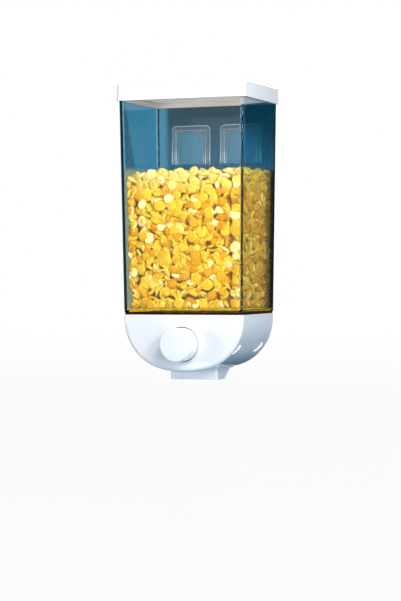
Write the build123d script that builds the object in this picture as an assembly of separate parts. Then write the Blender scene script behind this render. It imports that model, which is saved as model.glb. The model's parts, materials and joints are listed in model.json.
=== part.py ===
from build123d import *
import os
from math import acos, cos, radians, sin, sqrt, tan

# Dry food dispenser that hangs on a wall and drops a helping when its round button is pressed.
# Millimetres. +Z is up, +Y points into the wall and X runs across the front.
# The origin lies on the wall, midway between the two adhesive pads.

# Tank
TANK_WIDTH = 111.4
TANK_DEPTH = 82.8
TANK_HEIGHT = 199.0
TANK_DRAFT = 0.8
TANK_WALL = 2.2
TANK_CORNER = 1.2
TANK_INSIDE_CORNER = 1.2
FOOT_THICKNESS = 2.0
SPIGOT_LENGTH = 7.0
SPIGOT_WALL = 1.6
SPIGOT_CORNER = 0.4
BARB_LENGTH = 14.0
BARB_HEIGHT = 3.0
BARB_REACH = 1.0
BARB_TIP = 1.0
BARB_SPACING = 40.0

# Lid
LID_OVERHANG = 1.8
LID_HEIGHT = 14.6
LID_TOP = 2.4
LID_CORNER = 3.4
LID_EDGE = 1.6
LID_LIP = 0.4
LID_LIP_HEIGHT = 4.5
PLUG_DEPTH = 8.0
PLUG_WALL = 1.8
SEAL_THICKNESS = 2.4
SEAL_BODY = 1.2
SEAL_HEIGHT = 3.6
SEAL_LIP = 0.9

# Base
GASKET_THICKNESS = 1.8
BASE_PROUD = 0.4
BASE_WALL = 2.4
BASE_STRAIGHT = 3.8
BASE_SIDE_RADIUS = 45.0
BASE_BOTTOM_RADIUS = 88.0
BASE_EDGE = 3.6
OUTLET_RIM = 1.8
OUTLET_RIM_HEIGHT = 1.8

# Push button
BUTTON_DROP = 26.0
BUTTON_RADIUS = 15.1
BUTTON_TAPER = 0.5
BUTTON_PROUD = 17.6
BUTTON_CROWN = 0.6
BUTTON_EDGE = 1.2
BUTTON_WALL = 2.2
COLLAR_WALL = 0.8
COLLAR_LIP = 0.6
COLLAR_PROUD = 1.5
COLLAR_EDGE = 0.5
STEM_RADIUS = 4.0
TRAVEL = 13.0

# Hopper, gate and chute
HOPPER_WALL = 2.4
HOPPER_DROP = 28.0
KNEE_DROP = 9.5
KNEE_DEPTH = 19.0
THROAT_FRONT = 37.0
FLANGE = 2.0
GATE_FRONT = 11.0
GATE_THICKNESS = 2.5
GATE_LAND = 6.0
GATE_SIDE_LAND = 4.0
EAR_DEPTH = 5.0
EAR_PLATE = 2.5
EAR_WIDTH = 7.0
EAR_HEIGHT = 6.4
TAB_WIDTH = 16.0
TAB_RISE = 4.0
RAIL_WIDTH = 6.75
RAIL_BACK = 62.0
POST_FRONT = 48.0
POST_THICKNESS = 4.0
CHUTE_SETBACK = 26.8
CHUTE_LENGTH = 33.0
CHUTE_WALL = 2.0
CHUTE_BELOW = 7.8
CHUTE_MOUTH = 17.5
CHUTE_ROUND = 5.0
CHUTE_CORNER = 2.0

# Return springs
SPRING_INSET = 22.6
SPRING_RADIUS = 2.6
WIRE_RADIUS = 0.35
SPRING_TURNS = 6
PEG_RADIUS = 1.8
PEG_LENGTH = 4.0

# Screws
SCREW_RADIUS = 1.5
SCREW_HEAD_RADIUS = 2.8
SCREW_HEAD = 2.0
FRAME_SCREW_EDGE = 3.0
FRAME_SCREW_INSET = 3.8
FRAME_SCREW_BITE = 6.0
BUTTON_SCREW_BITE = 9.0
BOSS_RADIUS = 3.2

# Wall hanging
HANGER_DROP = 46.6
HANGER_WIDTH = 38.2
HANGER_HEIGHT = 35.4
HANGER_GAP = 9.3
HANGER_LEG = 4.4
HANGER_TOP = 5.0
HANGER_CORNER = 4.5
SLOT_DEPTH = 1.9
LIP_DEPTH = 2.0
LIP_REACH = 3.7
PLATE_SIZE = 36.0
PLATE_BASE = 1.6
PLATE_CORNER = 4.0
PAD_MARGIN = 1.0
PAD_THICKNESS = 1.0
BUMPER_X = 35.0
BUMPER_DROP = 16.0
BUMPER_RADIUS = 5.5
BUMPER_STEM = 2.0

# Clearances
FIT = 0.3
SLIDE_FIT = 0.25
SCREW_FIT = 0.05
PLATE_FIT = 0.4
LID_FIT = 0.5
BUTTON_FIT = 0.5
STOP_GAP = 0.1
EAR_ROOM = 2.0
CHUTE_ROOM = 1.5
CUT_EXTRA = 1.0

# Levels and depths that follow from the sizes above
LEAN = tan(radians(TANK_DRAFT))
RIM_Z = HANGER_DROP
FOOT_Z = RIM_Z - TANK_HEIGHT
SEAM_Z = FOOT_Z - GASKET_THICKNESS
HANGER_TOP_Z = HANGER_HEIGHT / 2
HANGER_X = (HANGER_WIDTH + HANGER_GAP) / 2
TANK_BACK = TANK_DEPTH / 2 + (HANGER_TOP_Z - FOOT_Z) * LEAN
SLOT_BACK = TANK_BACK + SLOT_DEPTH
LIP_BACK = SLOT_BACK + LIP_DEPTH
PLATE_FRONT = LIP_BACK + FIT
PLATE_BACK = PLATE_FRONT + PLATE_BASE
CENTRE_Y = -(PLATE_BACK + PAD_THICKNESS)

BASE_WIDTH = TANK_WIDTH + 2 * BASE_PROUD
BASE_DEPTH = TANK_DEPTH + 2 * BASE_PROUD
BASE_FRONT_Y = CENTRE_Y - BASE_DEPTH / 2
SIDE_CENTRE = BASE_WIDTH / 2 - BASE_SIDE_RADIUS
BOTTOM_CENTRE = sqrt((BASE_BOTTOM_RADIUS - BASE_SIDE_RADIUS) ** 2 - SIDE_CENTRE**2) - BASE_STRAIGHT
BASE_DROP = BASE_BOTTOM_RADIUS - BOTTOM_CENTRE
SPIGOT_HALF_WIDTH = BASE_WIDTH / 2 - BASE_WALL - FIT
SPIGOT_HALF_DEPTH = BASE_DEPTH / 2 - BASE_WALL - FIT
COLLAR_HALF_WIDTH = SPIGOT_HALF_WIDTH - SPIGOT_WALL - FIT
COLLAR_HALF_DEPTH = SPIGOT_HALF_DEPTH - SPIGOT_WALL - FIT

SPRING_X = BASE_WIDTH / 2 - SPRING_INSET
FLANGE_HALF_WIDTH = SPRING_X - EAR_WIDTH / 2
FRAME_SCREW_X = FLANGE_HALF_WIDTH - FRAME_SCREW_EDGE
GATE_WIDTH = 2 * (FLANGE_HALF_WIDTH - RAIL_WIDTH - SLIDE_FIT)
THROAT_WIDTH = GATE_WIDTH - 2 * GATE_SIDE_LAND
CHUTE_WIDTH = THROAT_WIDTH + 2 * (CHUTE_WALL + CHUTE_ROOM)
HOPPER_FLOOR = -(HOPPER_DROP + FLANGE)
GATE_TOP = HOPPER_FLOOR - SLIDE_FIT
GATE_LOW = GATE_TOP - GATE_THICKNESS
GATE_MIDDLE = (GATE_TOP + GATE_LOW) / 2
CHUTE_TOP = GATE_LOW - SLIDE_FIT
CHUTE_LEDGE = CHUTE_TOP - FLANGE
CHUTE_LOW = -(BASE_DROP + CHUTE_BELOW)
THROAT_BACK = THROAT_FRONT + TRAVEL
WINDOW_FRONT = THROAT_FRONT - TRAVEL
WINDOW_BACK = THROAT_FRONT - 2 * SLIDE_FIT
GATE_BACK = THROAT_BACK + GATE_LAND
RAIL_FRONT = GATE_FRONT + EAR_DEPTH + TRAVEL + EAR_ROOM
SPRING_FRONT = GATE_FRONT + EAR_DEPTH
FRAME_SCREW_DEPTHS = (RAIL_FRONT + FRAME_SCREW_INSET, RAIL_BACK - FRAME_SCREW_INSET)
LID_SKIRT_Z = RIM_Z + LID_TOP - LID_HEIGHT


def between(low, high):
    """The middle of two limits and the distance between them."""
    return (low + high) / 2, high - low


def rectangle(x_low, x_high, y_low, y_high):
    """A rectangle between limits."""
    x_middle, width = between(x_low, x_high)
    y_middle, height = between(y_low, y_high)
    return Pos(x_middle, y_middle) * Rectangle(width, height)


def front_profile(profile, y_front, y_back, level=SEAM_Z):
    """Extrude a profile drawn as seen from the front, with its heights above a level."""
    plane = Plane(origin=(0, y_front, level), x_dir=(1, 0, 0), z_dir=(0, -1, 0))
    return extrude(plane * profile, amount=y_front - y_back)


def base_profile(profile, front, back):
    """Extrude a front-view profile between two depths behind the base's front face."""
    return front_profile(profile, BASE_FRONT_Y + front, BASE_FRONT_Y + back)


def plan_profile(profile, low, high):
    """Extrude a profile drawn from above, as width and depth, between two heights above the seam."""
    plane = Plane(origin=(0, BASE_FRONT_Y, SEAM_Z + low))
    return extrude(plane * profile, amount=high - low)


def side_profile(profile, width):
    """Extrude a profile drawn from the side, as depth and height, evenly about the middle."""
    plane = Plane(origin=(0, BASE_FRONT_Y, SEAM_Z), x_dir=(0, 1, 0), z_dir=(1, 0, 0))
    return extrude(plane * profile, amount=width / 2, both=True)


def depth_pin(x, level, front, back, radius):
    """A round pin that runs front to back at a height above the seam."""
    return base_profile(Pos(x, level) * Circle(radius), front, back)


def upright_pin(x, depth, low, high, radius):
    """A round upright pin."""
    return plan_profile(Pos(x, depth) * Circle(radius), low, high)


def mirrored(shape):
    """A shape with its twin on the other side of the middle."""
    return shape + mirror(shape, about=Plane.YZ)


def ring(half_width, half_depth, wall, corner, low, high):
    """A rounded rectangular ring about the tank's axis, between two heights."""
    outer = RectangleRounded(2 * half_width, 2 * half_depth, corner + wall)
    inner = RectangleRounded(2 * (half_width - wall), 2 * (half_depth - wall), corner)
    return extrude(Pos(0, CENTRE_Y, low) * (outer - inner), amount=high - low)


def tank_form(inset, corner, low, high):
    """The tank's drafted form, inset from its outside, between two heights."""
    sections = []
    for z in (low, high):
        growth = 2 * (z - FOOT_Z) * LEAN - 2 * inset
        outline = RectangleRounded(TANK_WIDTH + growth, TANK_DEPTH + growth, corner)
        sections.append(Pos(0, CENTRE_Y, z) * outline)
    return loft(sections, ruled=True)


def barbs(clearance):
    """Snap barbs on the spigot's two sides: wedges under a square shoulder, grown by a clearance."""
    shoulder = SEAM_Z - (SPIGOT_LENGTH - BARB_HEIGHT) / 2 + clearance
    low = shoulder - BARB_HEIGHT - 2 * clearance
    tip_low = shoulder - BARB_TIP - 2 * clearance
    root = SPIGOT_HALF_WIDTH - SPIGOT_WALL / 2
    tip = SPIGOT_HALF_WIDTH + BARB_REACH + clearance
    wedge = make_face(Polyline((root, low), (tip, tip_low), (tip, shoulder), (root, shoulder), close=True))
    half_length = BARB_LENGTH / 2 + clearance
    wedges = Part()
    for side in (-1, 1):
        middle = CENTRE_Y + side * BARB_SPACING / 2
        wedges += front_profile(wedge, middle - half_length, middle + half_length, 0)
    return mirrored(wedges)


def make_tank():
    """Drafted clear tank, open at both ends, with a foot ledge and a snap-in spigot."""
    shell = tank_form(0, TANK_CORNER, FOOT_Z, RIM_Z)
    shell -= tank_form(TANK_WALL, TANK_INSIDE_CORNER, FOOT_Z + FOOT_THICKNESS, RIM_Z)
    opening = RectangleRounded(
        2 * (SPIGOT_HALF_WIDTH - SPIGOT_WALL), 2 * (SPIGOT_HALF_DEPTH - SPIGOT_WALL), SPIGOT_CORNER
    )
    shell -= extrude(Pos(0, CENTRE_Y, FOOT_Z) * opening, amount=FOOT_THICKNESS)
    spigot = ring(
        SPIGOT_HALF_WIDTH, SPIGOT_HALF_DEPTH, SPIGOT_WALL, SPIGOT_CORNER, SEAM_Z - SPIGOT_LENGTH, FOOT_Z
    )
    return shell + spigot + barbs(0)


def make_gasket():
    """Dark rubber ring that shows as a line between the tank and the base."""
    wall = TANK_WIDTH / 2 - SPIGOT_HALF_WIDTH - SCREW_FIT
    return ring(TANK_WIDTH / 2, TANK_DEPTH / 2, wall, TANK_INSIDE_CORNER, SEAM_Z, FOOT_Z)


def lid_half_sizes():
    """Half the lid's outside width and depth."""
    growth = (RIM_Z - FOOT_Z) * LEAN + LID_OVERHANG
    return TANK_WIDTH / 2 + growth, TANK_DEPTH / 2 + growth


def rim_inside():
    """Half the clear width and depth between the tank's walls, just below its rim."""
    growth = (RIM_Z - PLUG_DEPTH - FOOT_Z) * LEAN - TANK_WALL
    return TANK_WIDTH / 2 + growth, TANK_DEPTH / 2 + growth


def make_lid():
    """Slip-over lid with a finger lip around its skirt and a plug frame that carries the seal."""
    half_width, half_depth = lid_half_sizes()
    cap = extrude(
        Pos(0, CENTRE_Y, LID_SKIRT_Z) * RectangleRounded(2 * half_width, 2 * half_depth, LID_CORNER),
        amount=LID_HEIGHT,
    )
    cap = fillet(cap.faces().sort_by(Axis.Z)[-1].edges(), LID_EDGE)
    wall = LID_OVERHANG - LID_FIT
    hollow = RectangleRounded(2 * (half_width - wall), 2 * (half_depth - wall), LID_CORNER - wall)
    cap -= extrude(Pos(0, CENTRE_Y, LID_SKIRT_Z) * hollow, amount=LID_HEIGHT - LID_TOP)
    cap += ring(
        half_width + LID_LIP, half_depth + LID_LIP, LID_LIP + wall / 2, LID_CORNER - wall / 2,
        LID_SKIRT_Z, LID_SKIRT_Z + LID_LIP_HEIGHT,
    )
    clear_width, clear_depth = rim_inside()
    plug_width = clear_width - FIT - SEAL_THICKNESS
    plug_depth = clear_depth - FIT - SEAL_THICKNESS
    cap += ring(plug_width, plug_depth, PLUG_WALL, TANK_INSIDE_CORNER, RIM_Z - PLUG_DEPTH, RIM_Z)
    shelf = SEAL_BODY
    cap += ring(
        plug_width + shelf, plug_depth + shelf, PLUG_WALL / 2 + shelf, TANK_INSIDE_CORNER + PLUG_WALL / 2,
        RIM_Z - PLUG_DEPTH, RIM_Z - PLUG_DEPTH + SEAL_LIP,
    )
    return cap


def make_lid_seal():
    """Soft seal around the plug frame, with two thin lips that meet the tank's walls."""
    clear_width, clear_depth = rim_inside()
    half_width = clear_width - FIT
    half_depth = clear_depth - FIT
    lip_reach = SEAL_THICKNESS - SEAL_BODY
    corner = TANK_INSIDE_CORNER + PLUG_WALL
    low = RIM_Z - PLUG_DEPTH + SEAL_LIP
    high = low + SEAL_HEIGHT
    body = ring(half_width - lip_reach, half_depth - lip_reach, SEAL_BODY - SCREW_FIT, corner, low, high)
    for lip_low in (low, high - SEAL_LIP):
        body += ring(half_width, half_depth, lip_reach + SEAL_BODY / 2, corner, lip_low, lip_low + SEAL_LIP)
    return body


def arch(inset, top):
    """Front view of the base: straight sides that run into a wide, round bottom, inset from the outside."""
    edge = BASE_WIDTH / 2 - inset
    side = BASE_SIDE_RADIUS - inset
    bottom = BASE_BOTTOM_RADIUS - inset
    turn = acos(SIDE_CENTRE / (BASE_BOTTOM_RADIUS - BASE_SIDE_RADIUS))
    knee_x = SIDE_CENTRE + side * cos(turn / 2)
    knee_z = -BASE_STRAIGHT - side * sin(turn / 2)
    join_x = bottom * cos(turn)
    join_z = BOTTOM_CENTRE - bottom * sin(turn)
    lines = [
        Line((-edge, top), (edge, top)),
        Line((edge, top), (edge, -BASE_STRAIGHT)),
        ThreePointArc((edge, -BASE_STRAIGHT), (knee_x, knee_z), (join_x, join_z)),
        ThreePointArc((join_x, join_z), (0, inset - BASE_DROP), (-join_x, join_z)),
        ThreePointArc((-join_x, join_z), (-knee_x, knee_z), (-edge, -BASE_STRAIGHT)),
        Line((-edge, -BASE_STRAIGHT), (-edge, top)),
    ]
    return make_face(lines)


def collar_radius():
    """Outside radius of the button collar's sleeve."""
    return BUTTON_RADIUS + BUTTON_FIT + COLLAR_WALL


def outlet(margin):
    """The base's outlet as seen from above, grown by a margin."""
    half = CHUTE_WIDTH / 2 + FIT + margin
    front = CHUTE_SETBACK - FIT - margin
    back = CHUTE_SETBACK + CHUTE_LENGTH + FIT + margin
    return rectangle(-half, half, front, back)


def outlet_rim():
    """Raised rim around the outlet, on the curved underside of the base."""
    half = CHUTE_WIDTH / 2 + FIT + OUTLET_RIM
    floor = BOTTOM_CENTRE - sqrt(BASE_BOTTOM_RADIUS**2 - half**2)
    return plan_profile(outlet(OUTLET_RIM), floor - OUTLET_RIM_HEIGHT, floor + BASE_WALL / 2)


def make_base():
    """Round-bottomed housing, open at the top, with a button hole, an outlet, bosses and stop ribs."""
    solid = base_profile(arch(0, 0), 0, BASE_DEPTH)
    for end in (0, -1):
        face = solid.faces().sort_by(Axis.Y)[end]
        rounded = [edge for edge in face.edges() if edge.center().Z < SEAM_Z - SLIDE_FIT]
        solid = fillet(rounded, BASE_EDGE)
    housing = solid - base_profile(arch(BASE_WALL, BASE_STRAIGHT), BASE_WALL, BASE_DEPTH - BASE_WALL)
    hole_low = CHUTE_LEDGE - FRAME_SCREW_BITE
    for depth in FRAME_SCREW_DEPTHS:
        boss = mirrored(upright_pin(FRAME_SCREW_X, depth, -BASE_DROP, CHUTE_LEDGE, BOSS_RADIUS))
        hole = upright_pin(FRAME_SCREW_X, depth, hole_low, CHUTE_LEDGE, SCREW_RADIUS + SCREW_FIT)
        housing += boss & solid
        housing -= mirrored(hole)
    rib = rectangle(SPRING_X - BASE_WALL / 2, SPRING_X + BASE_WALL / 2, GATE_LOW, GATE_TOP)
    housing += mirrored(base_profile(rib, BASE_WALL / 2, GATE_FRONT - STOP_GAP))
    housing -= depth_pin(0, -BUTTON_DROP, -CUT_EXTRA, BASE_WALL + CUT_EXTRA, collar_radius() + SCREW_FIT)
    housing += outlet_rim()
    housing -= plan_profile(outlet(0), -BASE_DROP - CUT_EXTRA, CHUTE_LEDGE - BASE_WALL)
    wall_front = BASE_DEPTH - BASE_WALL - CUT_EXTRA
    housing -= mirrored(depth_pin(BUMPER_X, -BUMPER_DROP, wall_front, BASE_DEPTH + CUT_EXTRA, BUMPER_STEM))
    return housing - barbs(FIT)


def make_bumpers():
    """Two soft buffers that keep the base off the wall, each plugged into the base's back."""
    buffer = depth_pin(BUMPER_X, -BUMPER_DROP, BASE_DEPTH, -BASE_FRONT_Y, BUMPER_RADIUS)
    buffer = fillet(buffer.edges().sort_by(Axis.Y)[-1], BASE_WALL / 2)
    buffer += depth_pin(BUMPER_X, -BUMPER_DROP, BASE_DEPTH - BASE_WALL, BASE_DEPTH, BUMPER_STEM - SCREW_FIT)
    return mirrored(buffer)


def hopper_sections(wall):
    """Levels of the funnel from its mouth to its throat, each grown by a wall."""
    mouth_half = COLLAR_HALF_WIDTH - HOPPER_WALL
    mouth_front = BASE_DEPTH / 2 - COLLAR_HALF_DEPTH + HOPPER_WALL
    mouth_back = BASE_DEPTH - mouth_front
    share = KNEE_DROP / HOPPER_DROP
    knee_half = mouth_half + (THROAT_WIDTH / 2 - mouth_half) * share
    knee_back = mouth_back + (THROAT_BACK - mouth_back) * share
    levels = (
        (mouth_half, mouth_front, mouth_back, 0),
        (knee_half, KNEE_DEPTH, knee_back, -KNEE_DROP),
        (THROAT_WIDTH / 2, THROAT_FRONT, THROAT_BACK, -HOPPER_DROP),
    )
    sections = []
    for half, front, back, level in levels:
        outline = rectangle(-half - wall, half + wall, front - wall, back + wall)
        sections.append(Pos(0, BASE_FRONT_Y, SEAM_Z + level) * outline)
    return sections


def funnel(wall):
    """Two-stage funnel that leaves room for the button under its front slope."""
    mouth, knee, throat = hopper_sections(wall)
    return loft([mouth, knee], ruled=True) + loft([knee, throat], ruled=True)


def frame_plate(front, low, high):
    """Flat plate of the gate frame with its four screw holes."""
    plate = plan_profile(rectangle(-FLANGE_HALF_WIDTH, FLANGE_HALF_WIDTH, front, RAIL_BACK), low, high)
    for depth in FRAME_SCREW_DEPTHS:
        plate -= mirrored(upright_pin(FRAME_SCREW_X, depth, low, high, SCREW_RADIUS + SCREW_FIT))
    return plate


def make_hopper():
    """Funnel that leads the food from the tank to the gate, on a flange over the gate rails."""
    body = funnel(HOPPER_WALL) + frame_plate(RAIL_FRONT, HOPPER_FLOOR, -HOPPER_DROP)
    collar_top = GASKET_THICKNESS - FIT
    mouth, knee, throat = hopper_sections(HOPPER_WALL)
    body += extrude(mouth, amount=collar_top)
    inner_mouth, inner_knee, inner_throat = hopper_sections(0)
    body -= funnel(0)
    body -= extrude(inner_mouth, amount=collar_top)
    body -= extrude(inner_throat, amount=-FLANGE)
    return body


def make_rail():
    """Right-hand gate rail: a spacer bar beside the gate, with a post for the spring's rear end."""
    outline = rectangle(GATE_WIDTH / 2 + SLIDE_FIT, FLANGE_HALF_WIDTH, RAIL_FRONT, RAIL_BACK)
    bar = plan_profile(outline, CHUTE_TOP, HOPPER_FLOOR)
    for depth in FRAME_SCREW_DEPTHS:
        bar -= upright_pin(FRAME_SCREW_X, depth, CHUTE_TOP, HOPPER_FLOOR, SCREW_RADIUS + SCREW_FIT)
    half = EAR_HEIGHT / 2
    post = rectangle(
        FLANGE_HALF_WIDTH - SLIDE_FIT, SPRING_X + EAR_WIDTH / 2, GATE_MIDDLE - half, GATE_MIDDLE + half
    )
    arm = base_profile(post, POST_FRONT, POST_FRONT + POST_THICKNESS)
    arm -= plan_profile(
        rectangle(0, FLANGE_HALF_WIDTH, 0, BASE_DEPTH), CHUTE_TOP - EAR_HEIGHT, CHUTE_TOP
    )
    arm -= plan_profile(
        rectangle(0, FLANGE_HALF_WIDTH, 0, BASE_DEPTH), HOPPER_FLOOR, HOPPER_FLOOR + EAR_HEIGHT
    )
    peg = depth_pin(SPRING_X, GATE_MIDDLE, POST_FRONT - PEG_LENGTH, POST_FRONT, PEG_RADIUS)
    return bar + arm + peg


def make_gate():
    """Sliding gate: a plate with a window, a tab for the button's stem and two ears for the springs."""
    half_ear = SPRING_X + EAR_WIDTH / 2
    outline = rectangle(-GATE_WIDTH / 2, GATE_WIDTH / 2, GATE_FRONT, GATE_BACK)
    outline += rectangle(-half_ear, half_ear, GATE_FRONT, GATE_FRONT + EAR_DEPTH)
    outline -= rectangle(-THROAT_WIDTH / 2, THROAT_WIDTH / 2, WINDOW_FRONT, WINDOW_BACK)
    gate = plan_profile(outline, GATE_LOW, GATE_TOP)
    tab_top = TAB_RISE - BUTTON_DROP
    tab = rectangle(-TAB_WIDTH / 2, TAB_WIDTH / 2, GATE_LOW, tab_top)
    tab_plate = base_profile(tab, GATE_FRONT, GATE_FRONT + EAR_PLATE)
    hole = depth_pin(0, -BUTTON_DROP, GATE_FRONT, GATE_FRONT + EAR_PLATE, SCREW_RADIUS + SCREW_FIT)
    gate += tab_plate - hole
    web = Polyline(
        (GATE_FRONT, GATE_TOP), (GATE_FRONT + EAR_DEPTH, GATE_TOP), (GATE_FRONT, -BUTTON_DROP), close=True
    )
    gusset = side_profile(make_face(web), EAR_PLATE)
    gate += mirrored(Pos((TAB_WIDTH - EAR_PLATE) / 2, 0, 0) * gusset)
    half = EAR_HEIGHT / 2
    ear = rectangle(SPRING_X - EAR_WIDTH / 2, half_ear, GATE_MIDDLE - half, GATE_MIDDLE + half)
    gate += mirrored(base_profile(ear, SPRING_FRONT - EAR_PLATE, SPRING_FRONT))
    peg = depth_pin(SPRING_X, GATE_MIDDLE, SPRING_FRONT, SPRING_FRONT + PEG_LENGTH, PEG_RADIUS)
    return gate + mirrored(peg)


def make_button():
    """Round push button: a domed, hollow cap with a central stem that reaches back to the gate."""
    front_radius = BUTTON_RADIUS - BUTTON_TAPER
    rim = BUTTON_CROWN - BUTTON_PROUD
    inner = rim + BUTTON_WALL
    rear = BASE_WALL + STOP_GAP
    hole = SCREW_RADIUS + SCREW_FIT
    bottom = GATE_FRONT - BUTTON_SCREW_BITE
    quarter = BUTTON_CROWN / 4 - BUTTON_PROUD
    dome = ThreePointArc((0, -BUTTON_PROUD), (front_radius / 2, quarter), (front_radius, rim))
    outline = Polyline(
        (front_radius, rim),
        (BUTTON_RADIUS, 0),
        (BUTTON_RADIUS, rear),
        (BUTTON_RADIUS - BUTTON_WALL, rear),
        (front_radius - BUTTON_WALL, inner),
        (STEM_RADIUS, inner),
        (STEM_RADIUS, GATE_FRONT),
        (hole, GATE_FRONT),
        (hole, bottom),
        (0, bottom),
        (0, -BUTTON_PROUD),
    )
    profile = make_face(dome + outline)
    profile = fillet(profile.vertices().sort_by_distance((front_radius, rim))[0], BUTTON_EDGE)
    return Pos(0, BASE_FRONT_Y, SEAM_Z - BUTTON_DROP) * revolve(profile, axis=Axis.Y)


def make_collar():
    """Ring pressed into the base's front, with a lip around the button that guides it."""
    inner = BUTTON_RADIUS + BUTTON_FIT
    sleeve = collar_radius()
    lip = sleeve + COLLAR_LIP
    front = [(inner, -COLLAR_PROUD), (lip, -COLLAR_PROUD), (lip, 0)]
    rear = [(sleeve, 0), (sleeve, BASE_WALL), (inner, BASE_WALL)]
    profile = make_face(Polyline(*front, *rear, close=True))
    profile = fillet(profile.vertices().sort_by_distance((lip, -COLLAR_PROUD))[0], COLLAR_EDGE)
    return Pos(0, BASE_FRONT_Y, SEAM_Z - BUTTON_DROP) * revolve(profile, axis=Axis.Y)


def make_button_screw():
    """Pan-head screw that ties the gate's tab to the button's stem."""
    seat = GATE_FRONT + EAR_PLATE
    head = depth_pin(0, -BUTTON_DROP, seat, seat + SCREW_HEAD, SCREW_HEAD_RADIUS)
    head = fillet(head.edges().sort_by(Axis.Y)[-1], SCREW_HEAD / 2)
    return head + depth_pin(0, -BUTTON_DROP, GATE_FRONT - BUTTON_SCREW_BITE + FIT, seat, SCREW_RADIUS)


def make_frame_screws():
    """Four pan-head screws that clamp hopper, rails and chute onto the base's bosses."""
    screws = Part()
    for depth in FRAME_SCREW_DEPTHS:
        top = -HOPPER_DROP
        head = upright_pin(FRAME_SCREW_X, depth, top, top + SCREW_HEAD, SCREW_HEAD_RADIUS)
        head = fillet(head.edges().sort_by(Axis.Z)[-1], SCREW_HEAD / 2)
        shank = upright_pin(FRAME_SCREW_X, depth, CHUTE_LEDGE - FRAME_SCREW_BITE + FIT, top, SCREW_RADIUS)
        screws += mirrored(head + shank)
    return screws


def chute_side(extra):
    """Side view of the chute, run on past both ends: upright front, and a back that slopes in."""
    back = CHUTE_SETBACK + CHUTE_LENGTH
    bend = CHUTE_WALL - BASE_DROP
    slope = (CHUTE_LENGTH - CHUTE_MOUTH) / (bend - CHUTE_LOW)
    top = CHUTE_TOP + extra
    low = CHUTE_LOW - extra
    heel = back - (bend - low) * slope
    corners = [(CHUTE_SETBACK, top), (back, top), (back, bend), (heel, low), (CHUTE_SETBACK, low)]
    return make_face(Polyline(*corners, close=True))


def make_chute():
    """Short outlet chute under the gate, hung by its flange on the base's bosses."""
    duct = side_profile(chute_side(0), CHUTE_WIDTH)
    heel = duct.edges().filter_by(Axis.X).sort_by(Axis.Z)[:2].sort_by(Axis.Y)[-1]
    duct = fillet(heel, CHUTE_ROUND)
    duct = fillet(duct.edges().filter_by(Axis.Z).sort_by(Axis.Y)[:2], CHUTE_CORNER)
    duct += frame_plate(CHUTE_SETBACK - FLANGE, CHUTE_LEDGE, CHUTE_TOP)
    bore = offset(chute_side(2 * CHUTE_WALL), amount=-CHUTE_WALL, kind=Kind.INTERSECTION)
    return duct - side_profile(bore, CHUTE_WIDTH - 2 * CHUTE_WALL)


def make_spring():
    """Right-hand return spring: one wire wound between the gate's ear and the rail's post."""
    low = SPRING_FRONT + WIRE_RADIUS + SCREW_FIT
    high = POST_FRONT - WIRE_RADIUS - SCREW_FIT
    path = Helix(
        pitch=(high - low) / SPRING_TURNS,
        height=high - low,
        radius=SPRING_RADIUS,
        center=(SPRING_X, BASE_FRONT_Y + low, SEAM_Z + GATE_MIDDLE),
        direction=(0, 1, 0),
    )
    section = Plane(origin=path @ 0, z_dir=path % 0) * Circle(WIRE_RADIUS)
    return sweep(section, path=path, is_frenet=True)


def hanger_outline(leg, top):
    """Inverted U as seen from the front, with legs and a top bar of given widths."""
    half = HANGER_WIDTH / 2
    outer = RectangleRounded(HANGER_WIDTH, HANGER_HEIGHT, HANGER_CORNER)
    outer += rectangle(-half, half, -HANGER_TOP_Z, 0)
    return outer - rectangle(leg - half, half - leg, -HANGER_TOP_Z, HANGER_TOP_Z - top)


def make_hanger():
    """Right-hand hanger rail: an inverted U with an inward lip, bonded to the tank's back."""
    front = CENTRE_Y + TANK_DEPTH / 2
    slot = front_profile(hanger_outline(HANGER_LEG, HANGER_TOP), front, CENTRE_Y + SLOT_BACK, 0)
    slot -= tank_form(0, TANK_CORNER, FOOT_Z, RIM_Z)
    lip_outline = hanger_outline(HANGER_LEG + LIP_REACH, HANGER_TOP + LIP_REACH)
    lip = front_profile(lip_outline, CENTRE_Y + SLOT_BACK, CENTRE_Y + LIP_BACK, 0)
    return Pos(HANGER_X, 0, 0) * (slot + lip)


def make_wall_plate():
    """Right-hand wall plate: a square base with a raised T that the hanger rail drops over."""
    square = RectangleRounded(PLATE_SIZE, PLATE_SIZE, PLATE_CORNER)
    plate = front_profile(square, CENTRE_Y + PLATE_FRONT, CENTRE_Y + PLATE_BACK, 0)
    half_head = HANGER_WIDTH / 2 - HANGER_LEG - PLATE_FIT
    half_neck = half_head - LIP_REACH
    head_top = HANGER_TOP_Z - HANGER_TOP
    neck_top = head_top - LIP_REACH - FIT
    low = -PLATE_SIZE / 2 + PLATE_CORNER
    head_front = CENTRE_Y + TANK_BACK + SLIDE_FIT
    head_back = CENTRE_Y + SLOT_BACK - SLIDE_FIT
    head = rectangle(-half_head, half_head, low, head_top)
    neck = rectangle(-half_neck, half_neck, low, neck_top)
    plate += front_profile(head, head_front, head_back, 0)
    plate += front_profile(neck, head_back, CENTRE_Y + PLATE_FRONT, 0)
    return Pos(HANGER_X, 0, 0) * plate


def make_pad():
    """Right-hand adhesive pad between the wall plate and the wall."""
    size = PLATE_SIZE - 2 * PAD_MARGIN
    square = RectangleRounded(size, size, PLATE_CORNER - PAD_MARGIN)
    return Pos(HANGER_X, 0, 0) * front_profile(square, CENTRE_Y + PLATE_BACK, 0, 0)


def pair(name, shape):
    """Left and right nodes made from a right-hand piece."""
    return {f"{name}_right": shape, f"{name}_left": mirror(shape, about=Plane.YZ)}


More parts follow.
